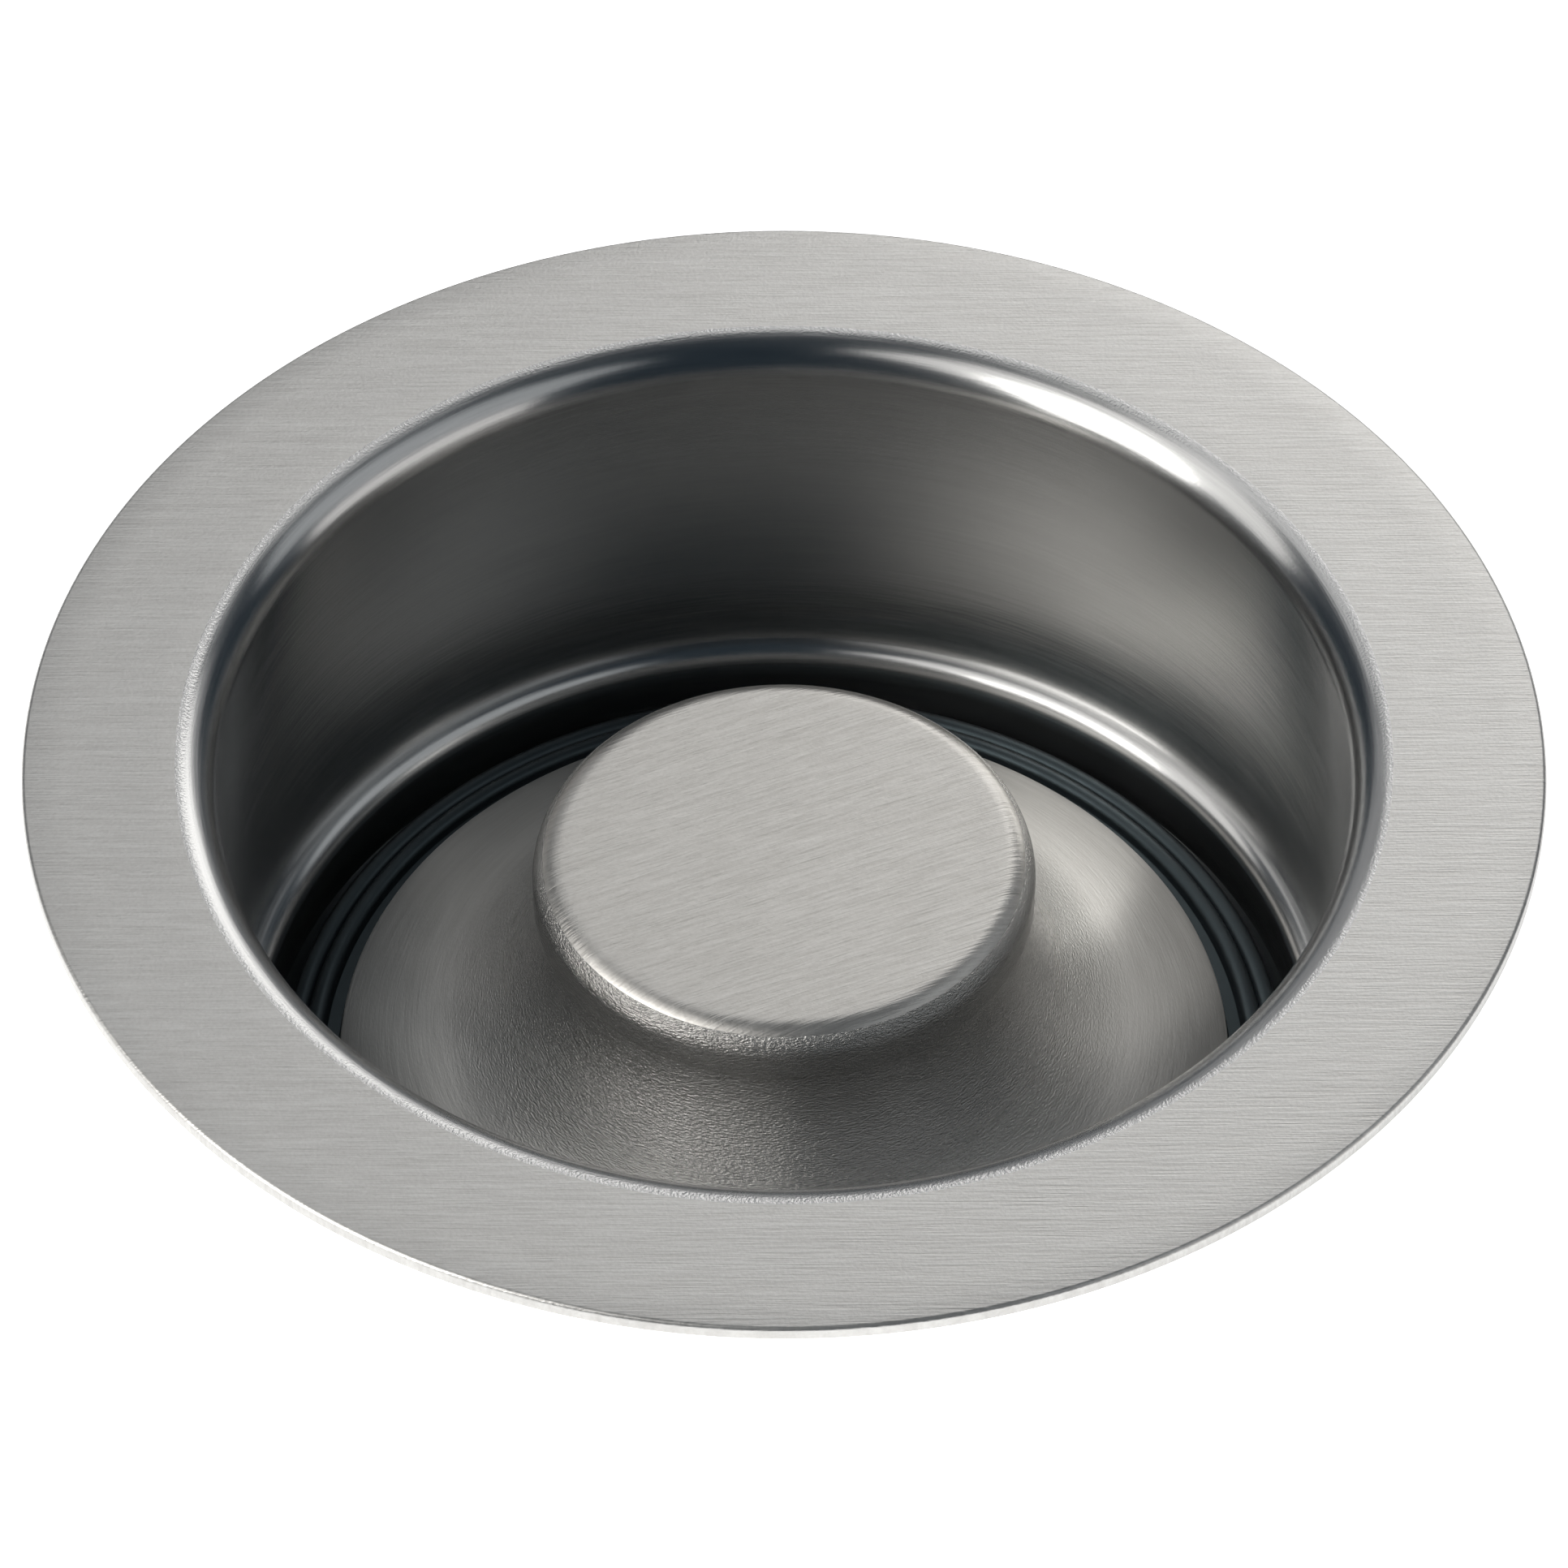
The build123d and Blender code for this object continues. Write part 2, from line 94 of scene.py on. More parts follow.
rim_top, rim_radius, rim_round = 1.1, 57.15, 0.35
cup_radius, cup_bend, outer_bend = 42.7, 3.0, 1.3
ledge_z, ledge_round, sheet = -31.0, 1.7, 0.9
bore_radius, seat_z, seat_drop = 41.0, -37.0, 2.8
tube_radius, tube_bottom = 38.2, -57.0
groove_z, groove_depth = -45.0, 1.2
cone_shift = sheet * math.tan(math.radians(22.5))
inner_bead = (4 + groove_depth**2) / (2 * groove_depth)
outer_bead = (1.4**2 + groove_depth**2) / (2 * groove_depth)
inner_half = math.degrees(math.asin(2.0 / inner_bead))
outer_half = math.degrees(math.asin(1.4 / outer_bead))
flange_section = [
    *bend((rim_radius - rim_round, rim_top - rim_round), rim_round, 0, 90, 6),
    (54, rim_top), (51, rim_top), (48, rim_top),
    *bend((cup_radius + cup_bend, rim_top - cup_bend), cup_bend, 90, 180, 20),
    (cup_radius, -8), (cup_radius, -15), (cup_radius, -22), (cup_radius, ledge_z + 0.6),
    *bend((cup_radius, ledge_z - ledge_round), ledge_round, 90, 180, 14),
    (bore_radius, seat_z), (tube_radius, seat_z - seat_drop),
    *bend(
        (tube_radius - groove_depth + inner_bead, groove_z),
        inner_bead, 180 - inner_half, 180 + inner_half, 10,
    ),
    *bend((tube_radius + 0.45, tube_bottom + 0.45), 0.45, 180, 360, 10),
    *bend(
        (tube_radius + sheet - groove_depth + outer_bead, groove_z),
        outer_bead, 180 + outer_half, 180 - outer_half, 10,
    ),
    (tube_radius + sheet, seat_z - seat_drop - cone_shift),
    (bore_radius + sheet, seat_z - cone_shift),
    *bend((cup_radius, ledge_z - ledge_round), ledge_round - sheet, 180, 90, 6),
    *bend((cup_radius + sheet - 0.4, ledge_z - sheet + 0.4), 0.4, -90, 0, 4),
    (cup_radius + sheet, -16),
    *bend((cup_radius + sheet + outer_bend, -outer_bend), outer_bend, 180, 90, 8),
    (rim_radius - 0.1, 0), (rim_radius, 0.1),
]
flange = turned("flange_body", flange_section + flange_section[:1])
finish_mesh(flange)


class Value:
    """A shader socket that can be used in sums and products."""

    def __init__(self, finish, socket):
        self.finish = finish
        self.socket = socket

    def maths(self, operation, first, second):
        return self.finish.node("ShaderNodeMath", {"operation": operation}, {0: first, 1: second})

    def __add__(self, other):
        return self.maths("ADD", self, other)

    __radd__ = __add__

    def __sub__(self, other):
        return self.maths("SUBTRACT", self, other)

    def __rsub__(self, other):
        return self.maths("SUBTRACT", other, self)

    def __mul__(self, other):
        return self.maths("MULTIPLY", self, other)

    __rmul__ = __mul__

    def __truediv__(self, other):
        return self.maths("DIVIDE", self, other)


class Finish:
    """One material. Numbers given at the start are set on the shader's own sockets."""

    def __init__(self, name, **fixed):
        self.material = bpy.data.materials.new(name)
        self.material.use_nodes = True
        self.tree = self.material.node_tree
        self.shader = self.tree.nodes["Principled BSDF"]
        for socket, value in fixed.items():
            self.shader.inputs[socket.replace("_", " ")].default_value = value

    def node(self, kind, settings=None, inputs=None, output=0):
        """Adds a node: its settings first, then its sockets' values or links; gives one output back."""
        made = self.tree.nodes.new(kind)
        for setting, value in (settings or {}).items():
            setattr(made, setting, value)
        for socket, value in (inputs or {}).items():
            if isinstance(value, Value):
                self.tree.links.new(value.socket, made.inputs[socket])
            else:
                made.inputs[socket].default_value = value
        return Value(self, made.outputs[output])

    def feed(self, socket, value):
        """Links a value to the shader."""
        self.tree.links.new(value.socket, self.shader.inputs[socket])

    def place(self):
        """The point on the piece, in metres in the object's frame."""
        return self.node("ShaderNodeTexCoord", output="Object")

    def streaks(self, place, stretch, detail=3.0, offset=(0, 0, 0)):
        """Noise from 0 to 1, stretched: stretch is how many marks a metre along each axis."""
        at = self.node("ShaderNodeMapping", {}, {"Vector": place, "Scale": stretch, "Location": offset})
        return self.node("ShaderNodeTexNoise", {}, {"Vector": at, "Scale": 1.0, "Detail": detail})

    def lathe_place(self, place, turns=7.0, slope=1.0):
        """Coordinates for marks that run round the Z axis: slow round it, quick along the section."""
        flat = self.node("ShaderNodeVectorMath", {"operation": "MULTIPLY"}, {0: place, 1: (1, 1, 0)})
        round_about = self.node("ShaderNodeVectorMath", {"operation": "NORMALIZE"}, {0: flat})
        radius = self.node("ShaderNodeVectorMath", {"operation": "LENGTH"}, {0: flat}, output="Value")
        height = self.node("ShaderNodeSeparateXYZ", {}, {0: place}, output="Z")
        along = height + radius * slope
        unit = self.node("ShaderNodeSeparateXYZ", {}, {0: round_about})
        unit_y = self.node("ShaderNodeSeparateXYZ", {}, {0: round_about}, output="Y")
        packed = self.node("ShaderNodeCombineXYZ", {}, {0: unit * turns, 1: unit_y * turns, 2: along})
        return packed, radius

    def mask(self, value, low, high):
        """0 below low, 1 above high, smooth between."""
        return self.node(
            "ShaderNodeMapRange",
            {"interpolation_type": "SMOOTHSTEP"},
            {"Value": value, "From Min": low, "From Max": high},
        )

    def tint(self, factor, first, second):
        """Blends two colours."""
        settings = {"data_type": "RGBA"}
        return self.node("ShaderNodeMix", settings, {0: factor, 6: first, 7: second}, output=2)

    def bump(self, height, strength, distance):
        """A bump in metres, fed to the shader's normal."""
        inputs = {"Height": height, "Strength": strength, "Distance": distance}
        self.feed("Normal", self.node("ShaderNodeBump", {}, inputs))


def grey(level, warm=0.0):
    """A linear grey, a little warm or cool."""
    return (level * (1 + warm), level, level * (1 - warm), 1)


def finish_faces(piece, finish, low, high, least_radius=0.0, most_radius=1.0):
    """Gives a finish to the faces whose middles lie between two heights and two radii, in metres."""
    piece.data.materials.append(finish.material)
    for face in piece.data.polygons:
        middle = face.center
        if low < middle.z < high and least_radius < math.hypot(middle.x, middle.y) < most_radius:
            face.material_index = len(piece.data.materials) - 1


cup_steel = Finish("cup_lathe_brushed_steel", Metallic=1.0, Anisotropic=0.75, Anisotropic_Rotation=0.25)
spot = cup_steel.place()
lathe, from_axis = cup_steel.lathe_place(spot)
ringed = cup_steel.streaks(lathe, (1, 1, 3800), 4.0)
ringed_broad = cup_steel.streaks(lathe, (0.6, 0.6, 900), 2.0, (5, 2, 0))
handled = cup_steel.streaks(spot, (60, 60, 60), 4.0, (2, 8, 5))
speckle = cup_steel.streaks(spot, (5000, 5000, 5000), 2.0, (1, 3, 6))
roll_edge = cup_radius + cup_bend
on_roll = cup_steel.mask(from_axis, (roll_edge - 1.0) * MM, (roll_edge - 0.3) * MM)
grain = ringed * 0.6 + ringed_broad * 0.4
cup_steel.feed("Base Color", cup_steel.tint(grain, (0.46, 0.46, 0.46, 1), (0.65, 0.65, 0.645, 1)))
cup_steel.feed("Roughness", 0.15 + grain * 0.10 + handled * 0.06)
cup_steel.bump(grain * 0.8 + speckle * (0.12 + on_roll * 2.5), 0.3, 0.00006)
flange.data.materials.append(cup_steel.material)

rim_steel = Finish("rim_belt_brushed_steel", Metallic=1.0)
spot = rim_steel.place()
line = rim_steel.streaks(spot, (170, 5200, 600), 3.0)
line_fine = rim_steel.streaks(spot, (420, 9000, 900), 2.0, (6, 4, 1))
line_long = rim_steel.streaks(spot, (40, 1800, 200), 2.0, (3, 1, 7))
dusting = rim_steel.streaks(spot, (3800, 3800, 3800), 2.0, (9, 3, 3))
brushed = line * 0.4 + line_fine * 0.25 + line_long * 0.12 + dusting * 0.23
contrast = rim_steel.mask(brushed, 0.25, 0.75)
rim_steel.feed("Base Color", rim_steel.tint(contrast, (0.50, 0.49, 0.475, 1), (0.68, 0.675, 0.66, 1)))
rim_steel.feed("Roughness", 0.30 + brushed * 0.14)
rim_steel.bump(brushed, 0.5, 0.00012)
finish_faces(flange, rim_steel, -0.1 * MM, 1.2 * MM, (roll_edge - 0.1) * MM)
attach(flange, "flange")
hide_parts("sink_flange")


# ---------------------------------------------------------------------------
# Stopper cap: one casting, turned and brushed. Its flat top is brushed in straight lines at a
# slant, and the neck, the concave flare and the crowned skirt are brushed round and round.
# ---------------------------------------------------------------------------
knob_top, knob_radius, knob_round = -11.2, 19.25, 2.3
knob_bottom, lip_round = -15.9, 0.5
neck_radius, neck_length, flare_radius, flare_sweep = 17.9, 0.2, 13.9, 70
skirt_radius, skirt_edge, skirt_under, cap_wall = 34.8, -32.8, -33.6, 1.4
boss_radius, boss_bottom, bolt_bore = 5.0, -31.0, 2.55
flare_start = knob_bottom - neck_length
flare_centre = (neck_radius + flare_radius, flare_start)
flare_end = bend(flare_centre, flare_radius, 180 + flare_sweep, 180 + flare_sweep, 1)[0]
skirt_chord = math.hypot(skirt_radius - flare_end[0], skirt_edge - flare_end[1])
chord_slope = math.degrees(math.atan2(flare_end[1] - skirt_edge, skirt_radius - flare_end[0]))
crown = chord_slope - (90 - flare_sweep)
crown_radius = skirt_chord / 2 / math.sin(math.radians(crown))
crown_lean = math.radians(90 - flare_sweep)
crown_centre = (
    flare_end[0] - crown_radius * math.sin(crown_lean),
    flare_end[1] - crown_radius * math.cos(crown_lean),
)
cap_ceiling = knob_top - 2.2
cap_section = [
    (0, knob_top), (6, knob_top), (12, knob_top), (16, knob_top),
    *bend((knob_radius - knob_round, knob_top - knob_round), knob_round, 90, 0, 16),
    (knob_radius, knob_bottom + lip_round),
    *bend((knob_radius - lip_round, knob_bottom + lip_round), lip_round, 0, -90, 6),
    *bend((neck_radius + 0.15, knob_bottom - 0.15), 0.15, 90, 180, 4),
    *bend(flare_centre, flare_radius, 180, 180 + flare_sweep, 24),
    *bend(crown_centre, crown_radius, flare_sweep, 90 - chord_slope - crown, 10)[1:-1],
    *bend((skirt_radius - 0.3, skirt_edge - 0.2), 0.3, 60, 0, 4),
    (skirt_radius, skirt_under), (skirt_radius - 1.2, skirt_under),
    *bend(flare_centre, flare_radius + cap_wall, 180 + flare_sweep, 180, 12),
    (neck_radius - cap_wall, cap_ceiling), (boss_radius, cap_ceiling),
    (boss_radius, boss_bottom), (bolt_bore, boss_bottom),
    (bolt_bore, boss_bottom + 12), (0, boss_bottom + 12),
]
cap = turned("stopper_cap_body", cap_section)
finish_mesh(cap)

cap_steel = Finish("cap_lathe_brushed_steel", Metallic=1.0, Anisotropic=0.9, Anisotropic_Rotation=0.25)
spot = cap_steel.place()
lathe, from_axis = cap_steel.lathe_place(spot, 8.0, -1.0)
ringed = cap_steel.streaks(lathe, (1, 1, 4200), 4.0)
ringed_broad = cap_steel.streaks(lathe, (0.5, 0.5, 1300), 2.0, (5, 2, 0))
scratch = cap_steel.streaks(lathe, (8, 8, 6000), 3.0, (7, 1, 4))
on_flare = cap_steel.mask(from_axis, 0.0280, 0.0190)
grain = ringed * 0.6 + ringed_broad * 0.4
cap_steel.feed("Base Color", cap_steel.tint(grain, (0.47, 0.46, 0.44, 1), (0.68, 0.67, 0.65, 1)))
cap_steel.feed("Roughness", 0.32 + grain * 0.10 - on_flare * 0.12)
cap_steel.bump(grain * 0.5 + scratch * (0.2 + on_flare * 3.0), 0.6, 0.00009)
cap.data.materials.append(cap_steel.material)

knob_steel = Finish("knob_belt_brushed_steel", Metallic=1.0)
spot = knob_steel.place()
brush_slant = -0.41
slant = knob_steel.node(
    "ShaderNodeVectorRotate", {"rotation_type": "Z_AXIS"}, {"Vector": spot, "Angle": brush_slant}
)
line = knob_steel.streaks(slant, (260, 4600, 600), 3.0)
line_fine = knob_steel.streaks(slant, (520, 8500, 900), 2.0, (6, 4, 1))
line_long = knob_steel.streaks(slant, (70, 1800, 200), 2.0, (3, 1, 7))
dusting = knob_steel.streaks(spot, (3600, 3600, 3600), 2.0, (9, 3, 3))
brushed = line * 0.45 + line_fine * 0.25 + line_long * 0.15 + dusting * 0.15
contrast = knob_steel.mask(brushed, 0.25, 0.75)
knob_steel.feed("Base Color", knob_steel.tint(contrast, (0.48, 0.465, 0.44, 1), (0.68, 0.665, 0.64, 1)))
knob_steel.feed("Roughness", 0.30 + brushed * 0.14)
knob_steel.bump(brushed, 0.5, 0.00012)
finish_faces(cap, knob_steel, (knob_top - 0.5) * MM, (knob_top + 0.1) * MM)
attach(cap, "stopper")
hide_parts("stopper_cap")


# ---------------------------------------------------------------------------
# Stopper seal: a moulded ring of black rubber under the skirt, with a groove, a round rib, a
# round lip and a bevel below that beds on the flange's seat.
# ---------------------------------------------------------------------------
seal_radius, seal_inner, seal_bottom, rib_radius = 39.5, 30.0, -39.2, 37.0
groove_floor = skirt_under - 0.9
seal_section = [
    (seal_inner, skirt_under), (skirt_radius - 0.1, skirt_under), (skirt_radius + 0.3, groove_floor),
    (rib_radius - 0.9, groove_floor),
    *bend((rib_radius, groove_floor), 0.8, 170, 10, 10),
    *bend((seal_radius - 0.9, groove_floor - 0.45), 0.85, 150, 0, 10),
    (seal_radius, seal_bottom + 1.2), (seal_radius - 1.2, seal_bottom), (seal_inner, seal_bottom),
    (seal_inner, skirt_under),
]
seal = turned("seal_ring", seal_section, 192)
finish_mesh(seal)

# The blue specular tint is a painted reflection: it colours the rubber's sheen blue, standing in for blue
# surroundings mirrored in it. Black rubber's own sheen is not blue.
seal_rubber = Finish("black_seal_rubber", Specular_IOR_Level=0.8, Specular_Tint=(0.72, 0.92, 1, 1))
spot = seal_rubber.place()
lathe, _ = seal_rubber.lathe_place(spot, 20.0)
mould = seal_rubber.streaks(spot, (900, 900, 900), 3.0)
dust = seal_rubber.streaks(lathe, (1, 1, 1500), 3.0)
seal_rubber.feed("Base Color", seal_rubber.tint(dust, (0.010, 0.012, 0.014, 1), (0.020, 0.023, 0.027, 1)))
seal_rubber.feed("Roughness", 0.30 + mould * 0.16)
seal_rubber.bump(mould, 0.25, 0.00005)
seal.data.materials.append(seal_rubber.material)
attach(seal, "stopper")
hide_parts("stopper_seal")


# ---------------------------------------------------------------------------
# Stopper core: a black nylon moulding that backs the seal. Six tapered fins round a hollow hub keep
# the stopper upright in the outlet tube. Every corner has a moulding's small round.
# ---------------------------------------------------------------------------
def softened(node, name, width, segments=2):
    """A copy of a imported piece, its triangles merged into flat faces and its sharp edges rounded."""
    bpy.ops.object.select_all(action="DESELECT")
    piece = bpy.data.objects.new(name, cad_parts[node].data.copy())
    bpy.context.scene.collection.objects.link(piece)
    bpy.context.view_layer.objects.active = piece
    piece.select_set(True)
    piece.data.materials.clear()
    bpy.ops.mesh.customdata_custom_splitnormals_clear()
    bpy.ops.object.mode_set(mode="EDIT")
    bpy.ops.mesh.select_all(action="SELECT")
    bpy.ops.mesh.remove_doubles(threshold=2e-6)
    bpy.ops.mesh.dissolve_limited(angle_limit=math.radians(0.5))
    bpy.ops.object.mode_set(mode="OBJECT")
    rounding = piece.modifiers.new("edges", "BEVEL")
    rounding.width = width * MM
    rounding.segments = segments
    rounding.limit_method = "ANGLE"
    rounding.angle_limit = math.radians(35)
    bpy.ops.object.modifier_apply(modifier="edges")
    finish_mesh(piece)
    return piece


core = softened("stopper_core", "core_moulding", 0.3)

nylon = Finish("black_nylon", Specular_IOR_Level=0.45)
spot = nylon.place()
mottle = nylon.streaks(spot, (60, 60, 90), 5.0)
spark = nylon.streaks(spot, (2600, 2600, 2600), 2.0, (4, 9, 2))
flow = nylon.streaks(spot, (50, 50, 700), 3.0, (2, 6, 1))
nylon.feed("Base Color", nylon.tint(mottle, (0.013, 0.014, 0.016, 1), (0.034, 0.035, 0.037, 1)))
nylon.feed("Roughness", 0.34 + mottle * 0.2 + flow * 0.08)
nylon.bump(spark * 0.7 + flow * 0.3, 0.3, 0.00006)
core.data.materials.append(nylon.material)
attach(core, "stopper")
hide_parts("stopper_core")


# ---------------------------------------------------------------------------
# Stopper washer and bolt: a punched stainless washer, and a round-headed bolt with a cross slot
# that holds the core, the seal and the cap together from below.
# ---------------------------------------------------------------------------
def cut_away(piece, cutters):
    """Cuts the cutters' shapes out of a piece, and removes the cutters."""
    for cutter in cutters:
        bpy.context.view_layer.objects.active = piece
        cutting = piece.modifiers.new("cut", "BOOLEAN")
        cutting.operation, cutting.solver, cutting.object = "DIFFERENCE", "EXACT", cutter
        bpy.ops.object.modifier_apply(modifier="cut")
        bpy.data.objects.remove(cutter)


def slot_cutter(length, width, low, high, centre=(0, 0), angle=0):
    """A bar in mm, for cutting a screwdriver slot between two heights."""
    bpy.ops.object.select_all(action="DESELECT")
    bpy.ops.mesh.primitive_cube_add(size=MM)
    bar = bpy.context.object
    bpy.ops.object.mode_set(mode="EDIT")
    bpy.ops.mesh.select_all(action="SELECT")
    bpy.ops.transform.resize(value=(length, width, high - low))
    bpy.ops.transform.rotate(value=-math.radians(angle), orient_axis="Z", center_override=(0, 0, 0))
    bpy.ops.transform.translate(value=(centre[0] * MM, centre[1] * MM, (low + high) / 2 * MM))
    bpy.ops.object.mode_set(mode="OBJECT")
    bar.select_set(False)
    return bar


disc_bottom = seal_bottom - 2.2
washer_bottom = disc_bottom - 1.0
bolt_radius = 2.5
washer_section = [
    (bolt_radius + 0.15, washer_bottom + 0.15), (bolt_radius + 0.3, washer_bottom),
    *bend((6.2 - 0.25, washer_bottom + 0.25), 0.25, -90, 0, 4),
    *bend((6.2 - 0.12, disc_bottom - 0.12), 0.12, 0, 90, 2),
    (bolt_radius + 0.15, disc_bottom),
]
washer = turned("washer_disc", washer_section + washer_section[:1], 96)
finish_mesh(washer)
head_bottom = washer_bottom - 3.2
bolt_section = [
    (0, head_bottom), *bend((4.7 - 1.2, head_bottom + 1.2), 1.2, -90, 0, 8),
    *bend((4.7 - 0.2, washer_bottom - 0.2), 0.2, 0, 90, 3),
    (bolt_radius, washer_bottom), (bolt_radius, boss_bottom - 1), (bolt_radius, boss_bottom + 9.5),
    (bolt_radius - 0.5, boss_bottom + 10), (0, boss_bottom + 10),
]
bolt = turned("bolt_body", bolt_section, 96)
cut_away(bolt, [slot_cutter(6, 1.3, head_bottom - 1, head_bottom + 1.8, angle=turn) for turn in (0, 90)])
bpy.ops.object.select_all(action="DESELECT")
bolt.select_set(True)
bpy.context.view_layer.objects.active = bolt
finish_mesh(bolt, 30)

bolt_steel = Finish("bolt_stainless", Metallic=1.0)
spot = bolt_steel.place()
lathe, _ = bolt_steel.lathe_place(spot, 5.0)
lathed = bolt_steel.streaks(lathe, (1, 1, 6500), 3.0)
worn = bolt_steel.streaks(spot, (420, 420, 420), 4.0, (1, 5, 8))
bolt_steel.feed("Base Color", bolt_steel.tint(worn, grey(0.42, 0.02), grey(0.60, 0.01)))
bolt_steel.feed("Roughness", 0.2 + lathed * 0.14 + worn * 0.1)
bolt_steel.bump(lathed, 0.3, 0.00004)
for piece, node in ((washer, "stopper_washer"), (bolt, "stopper_bolt")):
    piece.data.materials.append(bolt_steel.material)
    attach(piece, "stopper")
    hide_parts(node)


# ---------------------------------------------------------------------------
# Fibre gasket: a ring of pressed red-brown fibre sheet under the sink, squeezed between the sink
# and the backup flange. Its cut edges are rough and its faces show the fibres.
# ---------------------------------------------------------------------------
clamp_inner, clamp_outer = 44.1, 54.0
gasket_top, gasket_bottom = -2.5, -4.1
gasket_section = [
    *bend((clamp_outer - 0.3, gasket_top - 0.3), 0.3, 90, 0, 3),
    (clamp_outer + 0.05, (gasket_top + gasket_bottom) / 2),
    *bend((clamp_outer - 0.3, gasket_bottom + 0.3), 0.3, 0, -90, 3),
    (49, gasket_bottom),
    *bend((clamp_inner + 0.3, gasket_bottom + 0.3), 0.3, 270, 180, 3),
    *bend((clamp_inner + 0.3, gasket_top - 0.3), 0.3, 180, 90, 3),
    (49, gasket_top),
]
gasket = turned("fibre_ring", gasket_section + gasket_section[:1], 192)
finish_mesh(gasket, 50)

fibre = Finish("pressed_fibre", Roughness=0.86, Specular_IOR_Level=0.2)
spot = fibre.place()
strands = fibre.streaks(spot, (900, 260, 1800), 5.0)
crossing = fibre.streaks(spot, (240, 1000, 1800), 5.0, (3, 7, 1))
flecks = fibre.node("ShaderNodeTexVoronoi", {"feature": "F1"}, {"Vector": spot, "Scale": 900.0})
fleck = fibre.mask(flecks, 0.28, 0.12)
weave = strands * 0.5 + crossing * 0.5
body_colour = fibre.tint(weave, (0.085, 0.033, 0.020, 1), (0.30, 0.150, 0.095, 1))
fibre.feed("Base Color", fibre.tint(fleck * 0.5, body_colour, (0.36, 0.25, 0.17, 1)))
fibre.bump(weave + fleck * 0.2, 0.6, 0.00025)
gasket.data.materials.append(fibre.material)
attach(gasket, "flange")
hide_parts("fibre_gasket")


# ---------------------------------------------------------------------------
# Backup flange: a ring pressed from steel plate and zinc plated, flat on top with both edges
# turned down, so that the three screws bear inside its channel.
# ---------------------------------------------------------------------------
backup_top, backup_bottom, plate_wall = -4.1, -8.1, 1.4
backup_section = [
    *bend((clamp_outer - 0.8, backup_top - 0.8), 0.8, 90, 0, 8),
    *bend((clamp_outer - 0.3, backup_bottom + 0.3), 0.3, 0, -90, 4),
    *bend((clamp_outer - plate_wall + 0.3, backup_bottom + 0.3), 0.3, 270, 180, 4),
    *bend((clamp_outer - plate_wall - 0.35, backup_top - plate_wall - 0.35), 0.35, 0, 90, 5),
    (49, backup_top - plate_wall),
    *bend((clamp_inner + plate_wall + 0.35, backup_top - plate_wall - 0.35), 0.35, 90, 180, 5),
    *bend((clamp_inner + plate_wall - 0.3, backup_bottom + 0.3), 0.3, 0, -90, 4),
    *bend((clamp_inner + 0.3, backup_bottom + 0.3), 0.3, 270, 180, 4),
    *bend((clamp_inner + 0.8, backup_top - 0.8), 0.8, 180, 90, 8),
    (49, backup_top),
]
backup = turned("backup_ring", backup_section + backup_section[:1], 192)
finish_mesh(backup)


def zinc_plate(name, low, high, sheen, scuffed):
    """Zinc-plated steel: cloudy plating, faint crystals, rubbed marks and a few pale scuffs."""
    zinc = Finish(name, Metallic=1.0)
    spot = zinc.place()
    cloud = zinc.streaks(spot, (55, 55, 55), 5.0)
    crystal = zinc.node("ShaderNodeTexVoronoi", {"feature": "F1"}, {"Vector": spot, "Scale": 420.0})
    rubbed = zinc.streaks(spot, (90, 1500, 260), 4.0, (4, 2, 1))
    scuff = zinc.mask(zinc.streaks(spot, (130, 700, 240), 6.0, (8, 1, 3)), 0.62, 0.74) * scuffed
    tone = cloud * 0.6 + crystal * 0.25 + rubbed * 0.25
    plated = zinc.tint(tone, low, high)
    zinc.feed("Base Color", zinc.tint(scuff, plated, (0.62, 0.61, 0.58, 1)))
    zinc.feed("Roughness", sheen + cloud * 0.18 + rubbed * 0.1 + scuff * 0.2)
    zinc.bump(crystal * 0.4 + rubbed * 0.6, 0.25, 0.00006)
    return zinc


backup_zinc = zinc_plate("backup_zinc_plate", (0.30, 0.31, 0.33, 1), (0.56, 0.57, 0.58, 1), 0.24, 0.5)
backup.data.materials.append(backup_zinc.material)
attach(backup, "flange")
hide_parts("backup_flange")


# ---------------------------------------------------------------------------
# Upper mounting ring: a zinc-plated steel ring that hangs on the snap ring, with three tapped
# bosses for the screws and three sloped ramps, each with its stop, for the lower ring's hooks.
# ---------------------------------------------------------------------------
upper_ring = softened("upper_mount_ring", "upper_ring_plate", 0.4)
ring_zinc = zinc_plate("ring_zinc_plate", (0.27, 0.28, 0.31, 1), (0.52, 0.53, 0.55, 1), 0.26, 0.8)
upper_ring.data.materials.append(ring_zinc.material)
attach(upper_ring, "flange")
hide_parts("upper_mount_ring")


# ---------------------------------------------------------------------------
# Mounting screws: three plated set screws, threaded all the way, pointed above and slotted below.
# Each turns up through a tapped boss and pushes the backup flange against the sink.
# ---------------------------------------------------------------------------
screw_top, screw_length, screw_point = -5.5, 42.0, 3.0
screw_radius, screw_root, thread_pitch = 3.0, 2.5, 1.27
screw_bottom = screw_top - screw_length
screw_circle, screw_angles = 49.05, (90, 210, 330)
shank_section = [
    (0, screw_bottom), (screw_root - 0.4, screw_bottom), (screw_root, screw_bottom + 0.4),
    (screw_root, screw_bottom + 3), (screw_root, -30), (screw_root, screw_top - screw_point + 0.4),
    (1.35, screw_top - 0.25), *bend((1.0, screw_top - 0.2), 0.2, 45, 90, 3), (0, screw_top),
]
shank = turned("screw_shank", shank_section, 48)
thread_turns = 29
thread_low = screw_bottom + 0.9
bpy.ops.object.select_all(action="DESELECT")
bpy.ops.mesh.primitive_plane_add(size=MM)
thread = bpy.context.object
bpy.ops.object.mode_set(mode="EDIT")
bpy.ops.mesh.merge(type="CENTER")
flank = [(screw_root - 0.1, 0.5), (screw_radius - 0.05, 0.1)]
